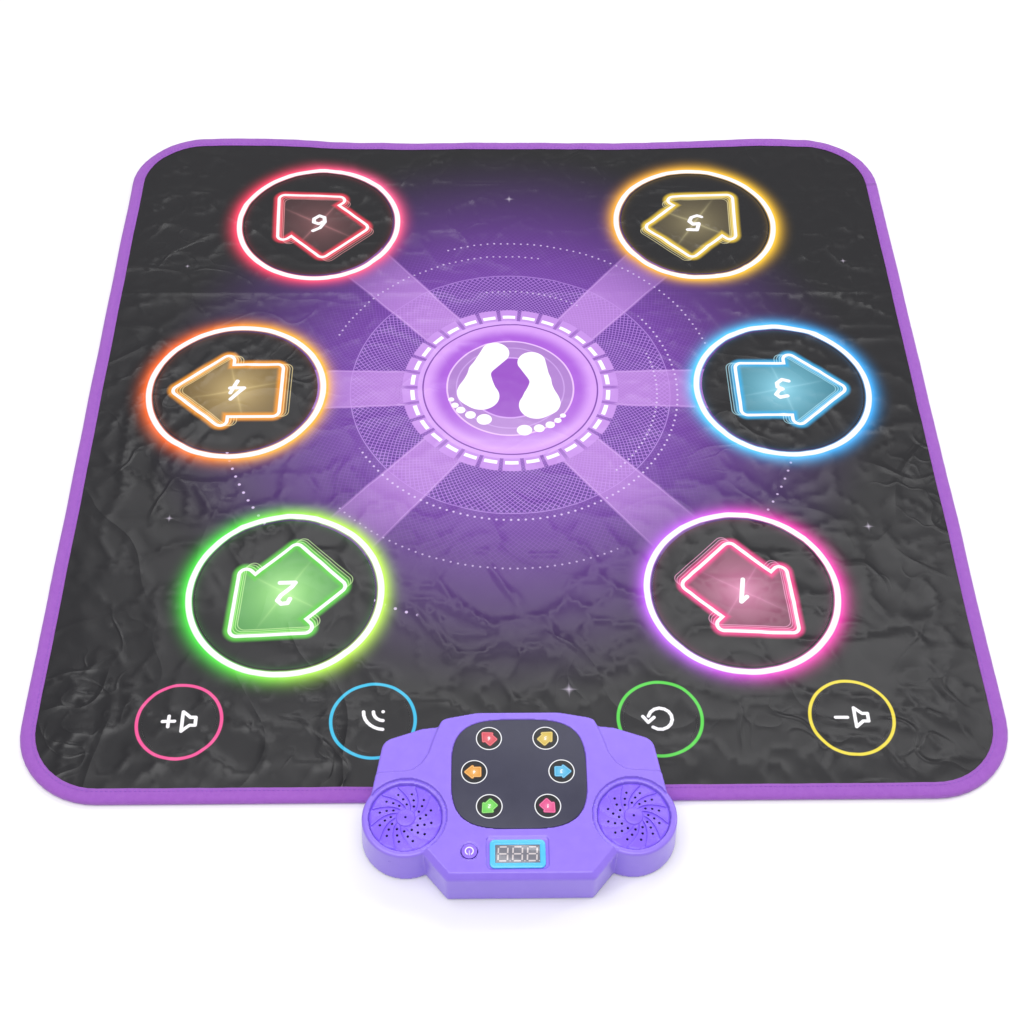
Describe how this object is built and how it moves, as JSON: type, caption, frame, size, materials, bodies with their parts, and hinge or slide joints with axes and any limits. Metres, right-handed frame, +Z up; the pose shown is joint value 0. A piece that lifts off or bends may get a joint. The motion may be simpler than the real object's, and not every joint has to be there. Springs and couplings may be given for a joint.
{
  "type": "dance rhythm machine",
  "caption": "Folding padded dance mat with round pressure pads, joined at its near edge to a battery-powered control box with speakers, lights and a display.",
  "frame": {"origin": "centre of the mat's underside, on the floor", "axes": "+Z up, +Y from the control box towards the mat's far edge, +X to the right of a viewer who stands behind the control box"},
  "size_m": [0.9, 0.9905, 0.0432],
  "materials": {
    "mat_cover": "glossy printed vinyl, softly wrinkled",
    "mat_foam": "white open-cell foam",
    "contact_film": "clear film with printed silver contacts",
    "base_cloth": "black non-slip backing cloth with rubber dots",
    "binding_tape": "purple woven tape, folded over the edge and stitched",
    "shell_plastic": "lavender moulded plastic, satin",
    "grille_plastic": "deeper lavender moulded plastic, satin",
    "dark_acrylic": "dark navy acrylic, glossy",
    "bezel_plastic": "sky blue moulded plastic, satin",
    "display_window": "grey translucent window",
    "black_plastic": "black moulded plastic, matt",
    "circuit_board": "green solder resist on glass laminate",
    "led_lens": "milky clear resin",
    "steel": "zinc-plated steel",
    "speaker_paper": "black pressed paper",
    "battery_wrap": "blue printed sleeve",
    "foot_rubber": "black soft rubber"
  },
  "bodies": {
    "root": {"base_cloth_main": "base_cloth", "battery_1": "battery_wrap", "battery_2": "battery_wrap", "battery_3": "battery_wrap", "battery_contact_left": "steel", "battery_contact_right": "steel", "binding_main": "binding_tape", "bottom_shell": "shell_plastic", "contact_film_main": "contact_film", "cover_main": "mat_cover", "display_bezel": "bezel_plastic", "display_module": "black_plastic", "display_window": "display_window", "film_tail": "contact_film", "foam_main": "mat_foam", "led_1": "led_lens", "led_2": "led_lens", "led_3": "led_lens", "led_4": "led_lens", "led_5": "led_lens", "led_6": "led_lens", "light_panel": "dark_acrylic", "main_board": "circuit_board", "mat_clamp_plate": "steel", "power_switch": "black_plastic", "rubber_foot_1": "foot_rubber", "rubber_foot_2": "foot_rubber", "rubber_foot_3": "foot_rubber", "rubber_foot_4": "foot_rubber", "shell_screw_1": "steel", "shell_screw_2": "steel", "shell_screw_3": "steel", "shell_screw_4": "steel", "speaker_frame_left": "steel", "speaker_frame_right": "steel", "speaker_grille_left": "grille_plastic", "speaker_grille_right": "grille_plastic", "tail_connector": "black_plastic", "top_shell": "shell_plastic"},
    "far_panel": {"base_cloth_far": "base_cloth", "binding_far": "binding_tape", "contact_film_far": "contact_film", "cover_far": "mat_cover", "foam_far": "mat_foam"},
    "battery_door": {"battery_door": "shell_plastic", "battery_door_screw": "steel"},
    "power_button": {"power_button": "shell_plastic"},
    "pad_1": {"pad_1": "mat_cover"},
    "pad_2": {"pad_2": "mat_cover"},
    "pad_3": {"pad_3": "mat_cover"},
    "pad_4": {"pad_4": "mat_cover"},
    "pad_5": {"pad_5": "mat_cover"},
    "pad_6": {"pad_6": "mat_cover"},
    "pad_mode": {"pad_mode": "mat_cover"},
    "pad_volume_down": {"pad_volume_down": "mat_cover"},
    "pad_volume_up": {"pad_volume_up": "mat_cover"},
    "pad_wireless": {"pad_wireless": "mat_cover"},
    "speaker_cone_left": {"speaker_cone_left": "speaker_paper"},
    "speaker_cone_right": {"speaker_cone_right": "speaker_paper"}
  },
  "joints": [
    {"name": "far_panel_fold", "type": "hinge", "parent": "root", "child": "far_panel", "pos_m": [0, 0.18688, 0.0085], "axis": [1, 0, 0], "range_deg": [0, 180]},
    {"name": "pad_1_press", "type": "slide", "parent": "root", "child": "pad_1", "axis": [0, 0, -1], "range_m": [0, 0.0012], "stiffness_N_per_m": 3000},
    {"name": "pad_2_press", "type": "slide", "parent": "root", "child": "pad_2", "axis": [0, 0, -1], "range_m": [0, 0.0012], "stiffness_N_per_m": 3000},
    {"name": "pad_3_press", "type": "slide", "parent": "root", "child": "pad_3", "axis": [0, 0, -1], "range_m": [0, 0.0012], "stiffness_N_per_m": 3000},
    {"name": "pad_4_press", "type": "slide", "parent": "root", "child": "pad_4", "axis": [0, 0, -1], "range_m": [0, 0.0012], "stiffness_N_per_m": 3000},
    {"name": "pad_5_press", "type": "slide", "parent": "far_panel", "child": "pad_5", "axis": [0, 0, -1], "range_m": [0, 0.0012], "stiffness_N_per_m": 3000},
    {"name": "pad_6_press", "type": "slide", "parent": "far_panel", "child": "pad_6", "axis": [0, 0, -1], "range_m": [0, 0.0012], "stiffness_N_per_m": 3000},
    {"name": "pad_mode_press", "type": "slide", "parent": "root", "child": "pad_mode", "axis": [0, 0, -1], "range_m": [0, 0.0012], "stiffness_N_per_m": 1500},
    {"name": "pad_volume_down_press", "type": "slide", "parent": "root", "child": "pad_volume_down", "axis": [0, 0, -1], "range_m": [0, 0.0012], "stiffness_N_per_m": 1500},
    {"name": "pad_volume_up_press", "type": "slide", "parent": "root", "child": "pad_volume_up", "axis": [0, 0, -1], "range_m": [0, 0.0012], "stiffness_N_per_m": 1500},
    {"name": "pad_wireless_press", "type": "slide", "parent": "root", "child": "pad_wireless", "axis": [0, 0, -1], "range_m": [0, 0.0012], "stiffness_N_per_m": 1500},
    {"name": "power_button_press", "type": "slide", "parent": "root", "child": "power_button", "axis": [0, 0, -1], "range_m": [0, 0.001], "stiffness_N_per_m": 500},
    {"name": "battery_door_hinge", "type": "hinge", "parent": "root", "child": "battery_door", "pos_m": [0, -0.46935, 0.0015], "axis": [1, 0, 0], "range_deg": [0, 90]},
    {"name": "speaker_cone_left_stroke", "type": "slide", "parent": "root", "child": "speaker_cone_left", "axis": [0, 0, 1], "range_m": [-0.0005, 0.0005], "stiffness_N_per_m": 1200},
    {"name": "speaker_cone_right_stroke", "type": "slide", "parent": "root", "child": "speaker_cone_right", "axis": [0, 0, 1], "range_m": [-0.0005, 0.0005], "stiffness_N_per_m": 1200}
  ]
}
